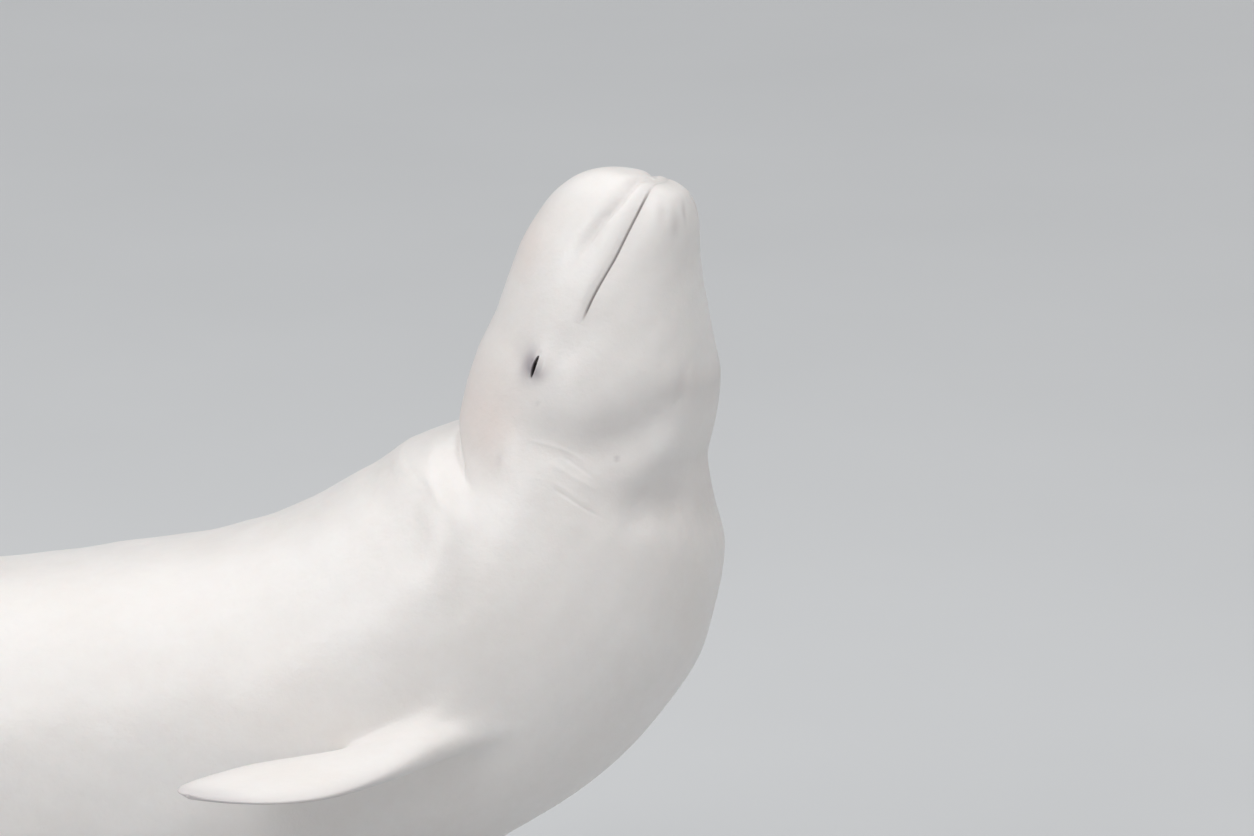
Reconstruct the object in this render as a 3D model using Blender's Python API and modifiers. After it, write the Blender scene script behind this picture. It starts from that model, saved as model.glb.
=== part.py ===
"""Adult beluga whale, life size, raising its head, on a plain two-rod stand.

The whale is designed straight, in a body frame (s, y, z): s runs back from
the snout tip along the spine, y to the whale's right and z to its back.
Each cross-section is then carried onto a curved spine, which pitches the
head up and rolls it a little towards the right.  World frame: +X ahead,
+Z up, the whale's right at -Y, origin under the middle of the stand's base.
"""
import bmesh
import bpy
import numpy as np
from math import cos, pi, radians, sin
from mathutils import Matrix, Vector

# --- main sizes, metres -------------------------------------------------
GAP = 0.0003                 # clearance between neighbouring pieces
CUT = 0.0005                 # thickness of the cuts that part the body
AROUND = 44                  # points round a cross-section
SNOUT = (1.040, 0.0, 1.705)  # world place of the snout tip
NOSE = 0.0008                # reach of the foremost point of the snout

# reach s, back level, belly level, half width, level of the side line
STATIONS = (
    (0.0008, -0.007, -0.007, 0.000, -0.007),
    (0.0050, 0.056, -0.0475, 0.045, -0.009),
    (0.020, 0.102, -0.0690, 0.071, -0.011),
    (0.050, 0.141, -0.087, 0.097, -0.012),
    (0.110, 0.1735, -0.107, 0.128, -0.010),
    (0.200, 0.191, -0.1485, 0.160, 0.001),
    (0.250, 0.1925, -0.175, 0.171, 0.004),
    (0.300, 0.192, -0.206, 0.181, 0.006),
    (0.380, 0.204, -0.2220, 0.194, 0.004),
    (0.430, 0.206, -0.2255, 0.200, 0.002),
    (0.480, 0.202, -0.2475, 0.211, -0.002),
    (0.520, 0.197, -0.267, 0.222, -0.005),
    (0.580, 0.228, -0.304, 0.243, -0.012),
    (0.640, 0.257, -0.332, 0.263, -0.017),
    (0.700, 0.272, -0.355, 0.282, -0.020),
    (0.880, 0.302, -0.372, 0.320, -0.020),
    (1.100, 0.306, -0.370, 0.345, -0.020),
    (1.500, 0.330, -0.353, 0.362, -0.010),
    (1.900, 0.328, -0.330, 0.350, 0.000),
    (2.350, 0.278, -0.276, 0.290, 0.000),
    (2.800, 0.205, -0.200, 0.190, 0.000),
    (3.100, 0.150, -0.145, 0.115, 0.000),
    (3.300, 0.104, -0.100, 0.066, 0.000),
)
# reach s, pitch of the spine in degrees (head end up)
PITCH = (
    (-0.10, 73.0), (0.55, 73.0), (0.65, 62.0), (0.77, 46.0), (0.92, 34.0),
    (1.15, 22.0), (1.50, 9.0), (1.90, 2.0), (2.50, -4.0), (3.10, -9.0),
    (3.75, -6.0),
)
# reach s, roll in degrees that turns the throat to the whale's right
ROLL = ((-0.10, 20.0), (0.35, 20.0), (0.85, 0.0), (3.75, 0.0))

# where the body is parted, and the rings of each length between two cuts
HEAD_END, NECK_END, CHEST_END, ABDOMEN_END, STOCK_END = 0.505, 0.80, 1.45, 2.35, 3.30
BODY_PARTS = (
    ("neck", HEAD_END, NECK_END, 10),
    ("chest", NECK_END, CHEST_END, 8),
    ("abdomen", CHEST_END, ABDOMEN_END, 8),
    ("tail_stock", ABDOMEN_END, STOCK_END, 9),
)
HEAD_RINGS = 20              # even number

JAW_REAR = 0.243             # reach of the mouth corner
MOUTH_LEVEL = -0.010         # level of the lips at the front of the mouth
MOUTH_RISE = 0.075           # rise of the mouth line per metre of reach

EYE_RADIUS = 0.020
EYE_AT = (0.333, 0.050)      # reach and level of the eye
EYE_INSET = 0.0165           # depth of the eye's middle under the skin

FLUKE_SPAN = 0.93            # tip to tip
FLUKE_RINGS = 12
FLUKE_NOTCH = 3.70           # reach of the notch between the flukes
FLUKE_TIP = 3.69             # reach of the fluke tips
FLUKE_EDGE = 0.010           # thickness of the trailing edge

FLIPPER_LENGTH = 0.46
FLIPPER_ROOT = (1.000, -0.055)   # reach and level of the root on the flank
FLIPPER_RINGS = 13
FLIPPER_AROUND = 16

RIDGE = (1.72, 2.28)         # reach of the dorsal ridge's two ends
RIDGE_HEIGHT = 0.035
RIDGE_WIDTH = 0.056

BASE_SIZE = (1.70, 0.86, 0.030)
ROD_RADIUS = 0.028
ROD_REACH = {"front": 0.42, "rear": -0.42}   # world X of the two rods


# --- small mathematics ---------------------------------------------------
def smooth(a, b, x):
    """Rise from 0 at a to 1 at b."""
    t = np.clip((np.asarray(x, float) - a) / (b - a), 0.0, 1.0)
    return t * t * (3.0 - 2.0 * t)


def curve(table, column, x):
    """Read one column of a table as a smooth curve that never overshoots."""
    xs = np.array([row[0] for row in table], float)
    ys = np.array([row[column] for row in table], float)
    step = np.diff(xs)
    rise = np.diff(ys) / step
    slope = np.empty_like(ys)
    product = rise[:-1] * rise[1:]
    total = np.where(np.abs(rise[:-1] + rise[1:]) < 1e-12, 1.0, rise[:-1] + rise[1:])
    slope[1:-1] = np.where(product > 0.0, 2.0 * product / total, 0.0)
    slope[0], slope[-1] = rise[0], rise[-1]
    x = np.clip(np.asarray(x, float), xs[0], xs[-1])
    i = np.clip(np.searchsorted(xs, x, side="right") - 1, 0, len(xs) - 2)
    t = (x - xs[i]) / step[i]
    return ((2 * t ** 3 - 3 * t ** 2 + 1) * ys[i] + (t ** 3 - 2 * t ** 2 + t) * step[i] * slope[i]
            + (3 * t ** 2 - 2 * t ** 3) * ys[i + 1] + (t ** 3 - t ** 2) * step[i] * slope[i + 1])


def root_reach(s):
    """Square root of the distance behind the nose, which rounds the snout."""
    return np.sqrt(np.maximum(np.asarray(s, float) - NOSE, 0.0))


ROUND_STATIONS = tuple((float(root_reach(row[0])),) + row[1:] for row in STATIONS)


# --- the straight body ---------------------------------------------------
def nape(s, z):
    """Height of the fat roll behind the nape, less the crease before it."""
    behind = s - (0.519 + 0.72 * (0.196 - np.minimum(z, 0.20)))
    edge = smooth(0.095, 0.165, z)
    ramp = 0.046 + 0.13 * (1.0 - edge)
    roll = 0.023 * smooth(0.0, 1.0, (behind + 0.006) / ramp)
    roll = roll * (1.0 - smooth(0.08, 0.32, behind)) * smooth(0.07, 0.17, z)
    return roll - 0.006 * np.exp(-((behind + 0.006) / 0.012) ** 2) * edge


def body_point(s, theta, extra=0.0):
    """Point of the skin at reach s and angle theta, 0 right and pi/2 back."""
    q = root_reach(s)
    back, belly, half, side = (curve(ROUND_STATIONS, k, q) for k in (1, 2, 3, 4))
    c, d = np.cos(theta), np.sin(theta)
    n = 2.15
    r = (np.abs(c) ** n + np.abs(d) ** n) ** (-1.0 / n)
    height = np.where(d > 0.0, back - side, side - belly) + extra
    y = (half + extra) * r * c
    z = side + height * r * d
    lift = nape(s, z) * np.where(d > 0.0, 1.0, 0.0)
    return np.stack([s + 0.0 * y, y + lift * r * c, z + lift * r * d], -1)


def fluke_point(u, theta):
    """Point of the tail flukes: u runs from the tail stock to the rear edge."""
    c, d = np.cos(theta), np.sin(theta)
    base = body_point(STOCK_END, theta)
    across = np.sign(c) * np.abs(c) ** (1.0 - 0.15 * u)
    half = base[..., 1].max()
    span = half + (FLUKE_SPAN / 2 - half) * smooth(0.0, 1.0, u) ** 0.85 - 0.098 * u * (1.0 - u) ** 5
    middle = STOCK_END + (FLUKE_NOTCH - STOCK_END) * u
    outer = STOCK_END + (FLUKE_TIP - STOCK_END) * u ** 1.25
    v = np.abs(across)
    bulge = 0.20 * u ** 2 * v * (1.0 - v) ** 0.8
    s = middle + (outer - middle) * v ** 1.5 + bulge
    t = np.clip(u / 0.90, 0.0, 1.0)
    fall = 1.0 - 3.0 * t ** 2 + 2.0 * t ** 3 - 0.85 * (t - 2.0 * t ** 2 + t ** 3)
    root_height = np.abs(base[..., 2]) * fall
    blade = (0.034 * (1.0 - v ** 1.6) + 0.010) * (1.0 - u) ** 0.6
    edge = FLUKE_EDGE / 2 * smooth(0.0, 0.4, u)
    shape = np.sign(d) * np.abs(d) ** (1.0 - 0.55 * smooth(0.2, 1.0, u))
    flat = np.maximum(blade * smooth(0.0, 0.3, u) + edge, 0.0)
    z = np.sign(d) * np.hypot(root_height, shape * flat)
    return np.stack([s, span * across, z], -1)


def spine(s):
    """World X and Z of the spine and its pitch, at reach s."""
    s = np.asarray(s, float)
    steps = np.linspace(-0.1, 3.9, 4001)
    pitch = np.radians(curve(PITCH, 1, steps))
    half = (steps[1] - steps[0]) / 2
    x = np.concatenate([[0.0], np.cumsum(-(np.cos(pitch[1:]) + np.cos(pitch[:-1])) * half)])
    z = np.concatenate([[0.0], np.cumsum(-(np.sin(pitch[1:]) + np.sin(pitch[:-1])) * half)])
    x += SNOUT[0] - np.interp(0.0, steps, x)
    z += SNOUT[2] - np.interp(0.0, steps, z)
    return np.interp(s, steps, x), np.interp(s, steps, z), np.interp(s, steps, pitch)


def bend(points):
    """Carry points from the straight body frame onto the curved spine."""
    points = np.asarray(points, float)
    s, y, z = points[..., 0], points[..., 1], points[..., 2]
    x0, z0, pitch = spine(s)
    roll = np.radians(curve(ROLL, 1, s))
    right = y * np.cos(roll) - z * np.sin(roll)
    up = z * np.cos(roll) + y * np.sin(roll)
    return np.stack([x0 - np.sin(pitch) * up, SNOUT[1] - right, z0 + np.cos(pitch) * up], -1)


# --- mesh helpers --------------------------------------------------------
def material(name, colour, roughness, metallic=0.0):
    mat = bpy.data.materials.new(name)
    mat.use_nodes = True
    shader = mat.node_tree.nodes["Principled BSDF"]
    shader.inputs["Base Color"].default_value = (*colour, 1.0)
    shader.inputs["Roughness"].default_value = roughness
    shader.inputs["Metallic"].default_value = metallic
    return mat


def add_object(name, mesh, mat=None, cutter=False):
    obj = bpy.data.objects.new(name, mesh)
    (CUTTERS if cutter else WHALE).objects.link(obj)
    if cutter:
        obj.hide_render = True
        obj.display_type = "WIRE"
    if mat:
        mesh.materials.append(mat)
    return obj


def finish_mesh(name, bm):
    bm.normal_update()
    bmesh.ops.recalc_face_normals(bm, faces=bm.faces)
    mesh = bpy.data.meshes.new(name)
    bm.to_mesh(mesh)
    bm.free()
    mesh.shade_smooth()
    mesh.set_sharp_from_angle(angle=radians(40))
    return mesh


def loft(name, rings, pointed=False):
    """Closed skin over a row of rings; pointed closes the front on a point."""
    bm = bmesh.new()
    rows = [[bm.verts.new(p) for p in ring] for ring in rings]
    count = len(rows[0])
    for first, second in zip(rows[:-1], rows[1:]):
        for j in range(count):
            k = (j + 1) % count
            bm.faces.new((first[j], first[k], second[k], second[j]))
    if pointed:
        tip = bm.verts.new(np.mean([v.co for v in rows[0]], axis=0) + Vector(pointed))
        for j in range(count):
            bm.faces.new((rows[0][(j + 1) % count], rows[0][j], tip))
    else:
        bm.faces.new(rows[0][::-1])
    bm.faces.new(rows[-1])
    return finish_mesh(name, bm)


def ring_angles(count=AROUND):
    return np.arange(count) * 2.0 * pi / count


def boolean(obj, cutter, operation="DIFFERENCE"):
    cut = obj.modifiers.new(f"{operation.lower()} {cutter.name}", "BOOLEAN")
    cut.operation = operation
    cut.object = cutter
    cut.solver = "EXACT"


# --- the whale -----------------------------------------------------------
def body_rings(start, end, count, extra=0.0):
    """World sections of one length of the body, short of the cuts at its ends."""
    steps = np.linspace(0.0, 1.0, count) ** (1.5 if start == HEAD_END else 1.0)
    reaches = start + CUT / 2 + (end - start - CUT) * steps
    return [bend(body_point(s, ring_angles(), extra)) for s in reaches]


def head_reaches():
    """Reaches of the head's rings, close together on the rounded snout."""
    near = NOSE + np.linspace(0.03, root_reach(0.20), HEAD_RINGS // 2) ** 2
    far = np.linspace(0.20, HEAD_END - CUT / 2, HEAD_RINGS // 2 + 1)[1:]
    return np.concatenate([near, far])


def forward(s):
    """World direction in which the whale faces at reach s."""
    pitch = float(spine(s)[2])
    return Vector((cos(pitch), 0.0, sin(pitch)))


def head_mesh(name):
    rings = [bend(body_point(s, ring_angles())) for s in head_reaches()]
    return loft(name, rings, pointed=forward(0.0) * 0.0012)


def jaw_block(name, shift):
    """Block round the lower jaw: its top follows the line of the lips."""
    bm = bmesh.new()
    bmesh.ops.create_cube(bm, size=1.0)
    rear = JAW_REAR - shift
    for v in bm.verts:
        s = rear if v.co.x > 0 else -0.10
        level = MOUTH_LEVEL + MOUTH_RISE * max(s, 0.0) - shift
        slant = 0.0 if v.co.z > 0 else -0.30
        if v.co.x > 0 and v.co.z < 0:
            s += 0.05
        v.co = bend((s, v.co.y * 0.6, level + slant))
    return add_object(name, finish_mesh(name, bm), cutter=True)


def eye_centre(sign):
    skin = body_side(EYE_AT[0], EYE_AT[1])
    return Vector(bend((EYE_AT[0], sign * (skin - EYE_INSET), EYE_AT[1])))


def body_side(s, z):
    """Half width of the body at reach s and level z."""
    angles = np.linspace(-pi / 2, pi / 2, 721)
    points = body_point(s, angles)
    return float(np.interp(z, points[:, 2], points[:, 1]))


def sphere(name, radius, centre, mat=None, cutter=False):
    bm = bmesh.new()
    bmesh.ops.create_uvsphere(bm, u_segments=16, v_segments=10, radius=radius)
    bmesh.ops.translate(bm, verts=bm.verts, vec=centre)
    return add_object(name, finish_mesh(name, bm), mat, cutter)


def build_head():
    head = add_object("head", head_mesh("head"), SKIN)
    jaw = add_object("lower_jaw", head_mesh("lower_jaw"), SKIN.copy())
    boolean(head, jaw_block("jaw_cutter", 0.0))
    boolean(jaw, jaw_block("jaw_block", GAP), "INTERSECT")
    for side, sign in (("right", 1), ("left", -1)):
        centre = eye_centre(sign)
        sphere(f"eye_{side}", EYE_RADIUS, centre, EYE)
        boolean(head, sphere(f"socket_{side}", EYE_RADIUS + GAP * 2, centre, cutter=True))


def build_body():
    for name, start, end, count in BODY_PARTS:
        add_object(name, loft(name, body_rings(start, end, count)), SKIN.copy())


def body_cutter():
    """Whole body, larger by the gap, which trims what is set against it."""
    rings = [ring for _, a, b, n in BODY_PARTS for ring in body_rings(a, b, n, GAP)]
    return add_object("body_cutter", loft("body_cutter", rings), cutter=True)


def half_fluke(name, sign):
    """One half of the tail's end, parted from the other by a thin cut."""
    bm = bmesh.new()
    rows = []
    for u in np.linspace(0.0, 1.0, FLUKE_RINGS):
        points = fluke_point(u, ring_angles())
        points[:, 0] += CUT / 2 * (1.0 - u)
        rows.append([bm.verts.new(p) for p in points])
    for first, second in zip(rows[:-1], rows[1:]):
        for j in range(AROUND):
            k = (j + 1) % AROUND
            bm.faces.new((first[j], first[k], second[k], second[j]))
    bm.faces.new(rows[0][::-1])
    last = rows[-1]
    for j in range(AROUND // 2):
        corners = [last[j], last[j + 1], last[(-j - 1) % AROUND], last[-j % AROUND]]
        bm.faces.new(list(dict.fromkeys(corners)))
    bmesh.ops.recalc_face_normals(bm, faces=bm.faces)
    plane = {"plane_co": (0.0, sign * GAP / 2, 0.0), "plane_no": (0.0, -sign, 0.0)}
    geometry = bm.verts[:] + bm.edges[:] + bm.faces[:]
    cut = bmesh.ops.bisect_plane(bm, geom=geometry, dist=1e-7, clear_outer=True, **plane)
    edges = [e for e in cut["geom_cut"] if isinstance(e, bmesh.types.BMEdge)]
    bmesh.ops.contextual_create(bm, geom=edges)
    for v in bm.verts:
        v.co = bend(v.co)
    add_object(name, finish_mesh(name, bm), SKIN.copy())


def flipper_rings(sign):
    """Sections of one flipper, from inside the flank to the rounded tip."""
    s, level = FLIPPER_ROOT
    root = Vector(bend((s, body_side(s, level), level)))
    along = Vector((-0.72, -0.69, -0.02)).normalized()
    chord = Vector((-0.66, 0.75, -0.10))
    chord = (chord - along * chord.dot(along)).normalized()
    normal = along.cross(chord)
    rings = []
    for f in np.linspace(-0.22, 1.0, FLIPPER_RINGS):
        f = sin(f * pi / 2) if f > 0 else f
        front, rear = flipper_outline(f)
        thick = 0.5 * curve(((-0.22, 0.062), (0.1, 0.050), (0.6, 0.026), (1.0, 0.008)), 1, f)
        middle, width = (front + rear) / 2, (rear - front) / 2
        lift = -0.035 * max(f, 0.0) ** 3
        ring = []
        for a in ring_angles(FLIPPER_AROUND):
            across = width * cos(a)
            height = thick * sin(a) * (1.0 - 0.35 * cos(a))
            point = root + along * (f * FLIPPER_LENGTH) + chord * (middle + across)
            point += normal * (height + lift)
            ring.append((point.x, sign * point.y, point.z))
        rings.append(ring)
    return rings


def flipper_outline(f):
    """Leading and trailing edge of the paddle across its length."""
    front = -0.085 - 0.045 * sin(pi * min(max(f, 0.0), 1.0) * 0.8)
    rear = 0.045 + 0.090 * smooth(0.05, 0.55, f)
    rounding = float(np.sqrt(max(1.0 - (max(f - 0.55, 0.0) / 0.455) ** 2, 0.0)))
    middle = 0.012
    return middle + (front - middle) * rounding, middle + (rear - middle) * rounding


def build_flippers(cutter):
    for side, sign in (("right", 1), ("left", -1)):
        name = f"flipper_{side}"
        flipper = add_object(name, loft(name, flipper_rings(sign)), SKIN.copy())
        boolean(flipper, cutter)


def build_ridge(cutter):
    rings = []
    for f in np.linspace(0.0, 1.0, 13):
        s = RIDGE[0] + (RIDGE[1] - RIDGE[0]) * f
        back = float(curve(ROUND_STATIONS, 1, root_reach(s)))
        rise = 0.006 + (RIDGE_HEIGHT - 0.006) * sin(pi * f) ** 0.7 if 0 < f < 1 else 0.006
        points = []
        for a in ring_angles(12):
            d = sin(a)
            y = RIDGE_WIDTH / 2 * cos(a) * (1.0 - 0.45 * max(d, 0.0))
            points.append((s, y, back + (rise * d if d > 0 else 0.03 * d)))
        rings.append(bend(points))
    ridge = add_object("dorsal_ridge", loft("dorsal_ridge", rings), SKIN.copy())
    boolean(ridge, cutter)


# --- the stand -----------------------------------------------------------
def cylinder(name, radius, bottom, top, x, mat, bevel=0.0):
    bm = bmesh.new()
    bmesh.ops.create_cone(bm, cap_ends=True, segments=32, radius1=radius, radius2=radius,
                          depth=top - bottom)
    bmesh.ops.translate(bm, verts=bm.verts, vec=(0.0, 0.0, (top + bottom) / 2))
    obj = add_object(name, finish_mesh(name, bm), mat)
    obj.location.x = x
    if bevel:
        edge = obj.modifiers.new("rounded edge", "BEVEL")
        edge.width = bevel
        edge.segments = 2
        edge.limit_method = "ANGLE"
    return obj


def belly_level(x):
    """World height of the belly's middle above the world place x."""
    s = np.linspace(NECK_END, ABDOMEN_END, 400)
    low = bend(body_point(s, -pi / 2))
    order = np.argsort(low[:, 0])
    return float(np.interp(x, low[order, 0], low[order, 2]))


def build_base():
    bm = bmesh.new()
    bmesh.ops.create_cube(bm, size=1.0)
    bmesh.ops.scale(bm, verts=bm.verts, vec=BASE_SIZE)
    bmesh.ops.translate(bm, verts=bm.verts, vec=(0.0, 0.0, BASE_SIZE[2] / 2))
    upright = [e for e in bm.edges if abs(e.verts[0].co.z - e.verts[1].co.z) > BASE_SIZE[2] / 2]
    bmesh.ops.bevel(bm, geom=upright, offset=0.06, segments=6, affect="EDGES", profile=0.5)
    rim = [e for e in bm.edges if min(v.co.z for v in e.verts) > BASE_SIZE[2] * 0.99]
    rim = [e for e in rim if len({round(f.normal.z, 2) for f in e.link_faces}) > 1]
    bmesh.ops.bevel(bm, geom=rim, offset=0.004, segments=2, affect="EDGES", profile=0.5)
    add_object("stand_base", finish_mesh("stand_base", bm), BASE)


def build_rods(cutter):
    top_of_base = BASE_SIZE[2]
    for place, x in ROD_REACH.items():
        belly = belly_level(x)
        flange_top = top_of_base + GAP + 0.012
        rod = cylinder(f"stand_rod_{place}", ROD_RADIUS, flange_top + GAP, belly + 0.03, x, STEEL)
        boolean(rod, cutter)
        cylinder(f"stand_flange_{place}", 0.075, top_of_base + GAP, flange_top, x, STEEL.copy(),
                 bevel=0.003)


def clear_scene():
    for obj in list(bpy.data.objects):
        bpy.data.objects.remove(obj, do_unlink=True)


clear_scene()
WHALE = bpy.data.collections.new("beluga_whale")
CUTTERS = bpy.data.collections.new("cutters")
for group in (WHALE, CUTTERS):
    bpy.context.scene.collection.children.link(group)
SKIN = material("white_skin", (0.83, 0.80, 0.77), 0.35)
EYE = material("dark_eye", (0.025, 0.020, 0.018), 0.08)
BASE = material("dark_base", (0.06, 0.065, 0.07), 0.40)
STEEL = material("brushed_steel_rod", (0.55, 0.56, 0.57), 0.30, 1.0)

build_head()
build_body()
trimmer = body_cutter()
half_fluke("fluke_right", 1)
half_fluke("fluke_left", -1)
build_flippers(trimmer)
build_ridge(trimmer)
build_base()
build_rods(trimmer)
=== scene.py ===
"""Looks of the beluga whale model: one seamless skin over the solids, the
eyes behind their lids, the stand's finish, the studio and the camera.

The skin is designed straight, in a body frame (s, y, z): s runs back from
the snout tip along the spine, y to the whale's right and z to its back, and
is then carried onto the curved spine.  A vertex of the skin is kept as a
point (a, b) of a flat map: its angle is the angle round the body and its
distance from the middle grows with the reach s, so the map has no seam.
"""
from math import cos, pi, radians, sin, sqrt

import bmesh
import bpy
import numpy as np
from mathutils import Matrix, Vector


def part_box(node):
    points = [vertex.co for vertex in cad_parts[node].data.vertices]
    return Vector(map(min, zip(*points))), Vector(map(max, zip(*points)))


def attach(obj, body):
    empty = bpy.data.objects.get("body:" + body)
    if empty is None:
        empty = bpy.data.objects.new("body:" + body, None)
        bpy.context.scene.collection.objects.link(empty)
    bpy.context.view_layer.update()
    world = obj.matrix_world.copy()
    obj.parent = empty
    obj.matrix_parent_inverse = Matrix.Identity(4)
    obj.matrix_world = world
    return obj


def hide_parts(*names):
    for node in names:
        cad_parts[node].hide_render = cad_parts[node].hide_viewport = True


# --- the body's shape, as in the solids, metres ---
SNOUT = (1.04, 0, 1.705)
NOSE = 0.0008
# reach s, back level, belly level, half width, level of the side line
STATIONS = (
    (0.0008, -0.007, -0.007, 0, -0.007),
    (0.005, 0.056, -0.0475, 0.045, -0.009),
    (0.02, 0.102, -0.069, 0.071, -0.011),
    (0.05, 0.141, -0.087, 0.097, -0.012),
    (0.11, 0.1735, -0.107, 0.128, -0.01),
    (0.2, 0.191, -0.1485, 0.16, 0.001),
    (0.25, 0.1925, -0.175, 0.171, 0.004),
    (0.3, 0.192, -0.206, 0.181, 0.006),
    (0.38, 0.204, -0.222, 0.194, 0.004),
    (0.43, 0.206, -0.2255, 0.2, 0.002),
    (0.48, 0.202, -0.2475, 0.211, -0.002),
    (0.52, 0.197, -0.267, 0.222, -0.005),
    (0.58, 0.228, -0.304, 0.243, -0.012),
    (0.64, 0.257, -0.332, 0.263, -0.017),
    (0.7, 0.272, -0.355, 0.282, -0.02),
    (0.88, 0.302, -0.372, 0.32, -0.02),
    (1.1, 0.306, -0.37, 0.345, -0.02),
    (1.5, 0.33, -0.353, 0.362, -0.01),
    (1.9, 0.328, -0.33, 0.35, 0),
    (2.35, 0.278, -0.276, 0.29, 0),
    (2.8, 0.205, -0.2, 0.19, 0),
    (3.1, 0.15, -0.145, 0.115, 0),
    (3.3, 0.104, -0.1, 0.066, 0),
)
# reach s, pitch of the spine in degrees (head end up)
PITCH = (
    (-0.1, 73), (0.55, 73), (0.65, 62), (0.77, 46), (0.92, 34),
    (1.15, 22), (1.5, 9), (1.9, 2), (2.5, -4), (3.1, -9),
    (3.75, -6),
)
# reach s, roll in degrees that turns the throat to the whale's right
ROLL = ((-0.1, 20), (0.35, 20), (0.85, 0), (3.75, 0))
STOCK_END = 3.3
FLUKE_SPAN = 0.93
FLUKE_NOTCH = 3.7
FLUKE_TIP = 3.69
FLUKE_EDGE = 0.004           # thickness of the trailing edge
FLUKE_BLADE = (0.034, 0.01)  # half thickness that the middle adds, and the whole blade's
FLIPPER_LENGTH = 0.46
FLIPPER_ROOT = (1, -0.055)   # reach and level of the root on the flank
FLIPPER_ALONG = (-0.72, -0.69, -0.02)
FLIPPER_CHORD = (-0.66, 0.75, -0.1)
FLIPPER_THICKNESS = ((-0.5, 0.066), (-0.22, 0.062), (0.1, 0.05), (0.6, 0.026), (1, 0.008))
FLIPPER_FRONT = (-0.085, -0.045)  # place of the front edge at the root, and its bulge
FLIPPER_REAR = (0.045, 0.09)  # place of the rear edge at the root, and how far it widens
FLIPPER_TIP = 0.012          # place of the tip across the blade
FLIPPER_CURL = 0.035         # how far the tip curls up
EYE_AT = (0.333, 0.05)       # reach and level of the eye
LIDS_AT = (0.336, 0.0514)    # reach and level of the middle of the slit between its lids
MOUTH_CORNER = 0.243         # reach of the mouth's corner
BLOWHOLE = (0.352, -0.006)   # reach and y of the middle of the blowhole
EAR_AT = (0.392, 0.028)      # reach and level of the ear's tiny opening

# --- the skin's mesh ---
SIDE = 50                    # cells on one side of the square that closes the snout
AROUND = 4 * SIDE
CAP_REACH = 0.03             # reach of the ring round that square
# reaches between which the rings are a given step apart
ROWS = ((CAP_REACH, 0.5, 0.0046), (0.5, 0.8, 0.0062), (0.8, STOCK_END, 0.021))
FLUKE_ROWS = 42
# distances from the lips, eyes, blowhole and creases within which each step splits the mesh
FINER = ((0.016, 0.03, 0.02, 0.01), (0.006, 0.015, 0.008, 0.005), (0, 0.0075, 0, 0))
FINER_END = 0.62             # reach behind which the mesh is never split
MEETING_POINTS = 240         # points on the line where a flipper meets the flank
COLLAR_RINGS = 7             # rings on the flank round a flipper's root
BLADE_RINGS = 44
COLLAR_MARGIN = 0.045        # flank round the root that the collar takes up
ROOT_RINGS = 14              # rings of the blade that are rounded off with the collar
ROUNDING = (4, 30)           # rings to each side of the root, and rounds
FLANK_RADIUS = 0.345         # half width of the body at the flippers
ROOT_ANGLE = -0.15           # angle round the body of the right flipper's root

FLESH = (
    "head", "lower_jaw", "neck", "chest", "abdomen", "tail_stock", "fluke_left",
    "fluke_right", "flipper_left", "flipper_right", "dorsal_ridge",
)


# --- small mathematics ---
def smooth(a, b, x):
    """Rise from 0 at a to 1 at b."""
    t = np.clip((np.asarray(x, float) - a) / (b - a), 0, 1)
    return t * t * (3 - 2 * t)


def fall(a, b, x):
    """Fall from 1 at a to 0 at b."""
    return 1 - smooth(a, b, x)


def bell(x, width):
    """Fall from 1 in the middle to almost 0 at twice the width."""
    return np.exp(-(x / width) ** 2)


def dome(x, y, width):
    """Round bell over a place at a distance (x, y) from its middle."""
    return bell(np.hypot(x, y), width)


def curve(table, column, x):
    """Read one column of a table as a smooth curve that never overshoots."""
    xs, ys = (np.array([row[k] for row in table], float) for k in (0, column))
    step = np.diff(xs)
    rise = np.diff(ys) / step
    slope = np.empty_like(ys)
    before, after = rise[:-1], rise[1:]
    alike = before * after > 0
    total = np.where(alike, before + after, 1)
    slope[1:-1] = np.where(alike, 2 * before * after / total, 0)
    slope[0], slope[-1] = rise[0], rise[-1]
    x = np.clip(np.asarray(x, float), xs[0], xs[-1])
    i = np.clip(np.searchsorted(xs, x, side="right") - 1, 0, len(xs) - 2)
    t = (x - xs[i]) / step[i]
    ends = (1 - t) * slope[i] - t * slope[i + 1]
    return ys[i] + (ys[i + 1] - ys[i]) * t * t * (3 - 2 * t) + t * (1 - t) * step[i] * ends


def root_reach(s):
    """Square root of the distance behind the nose, which rounds the snout."""
    return np.sqrt(np.maximum(np.asarray(s, float) - NOSE, 0))


ROUND_STATIONS = tuple((float(root_reach(row[0])),) + row[1:] for row in STATIONS)
STOCK_ROOT = float(root_reach(STOCK_END))


# --- the body without its fine relief ---
def nape_distance(s, z):
    """Reach of a point behind the bottom of the crease across the nape."""
    return s - (0.513 + 0.72 * (0.196 - np.minimum(z, 0.2)))


def nape(s, z):
    """Height of the fat roll behind the nape, less the crease before it."""
    behind = nape_distance(s, z)
    edge = smooth(0.095, 0.165, z)
    ramp = 0.046 + 0.13 * (1 - edge)
    roll = 0.023 * smooth(0, 1, behind / ramp)
    roll *= fall(0.086, 0.326, behind) * smooth(0.07, 0.17, z)
    return roll - 0.006 * bell(behind, 0.012) * edge


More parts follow.
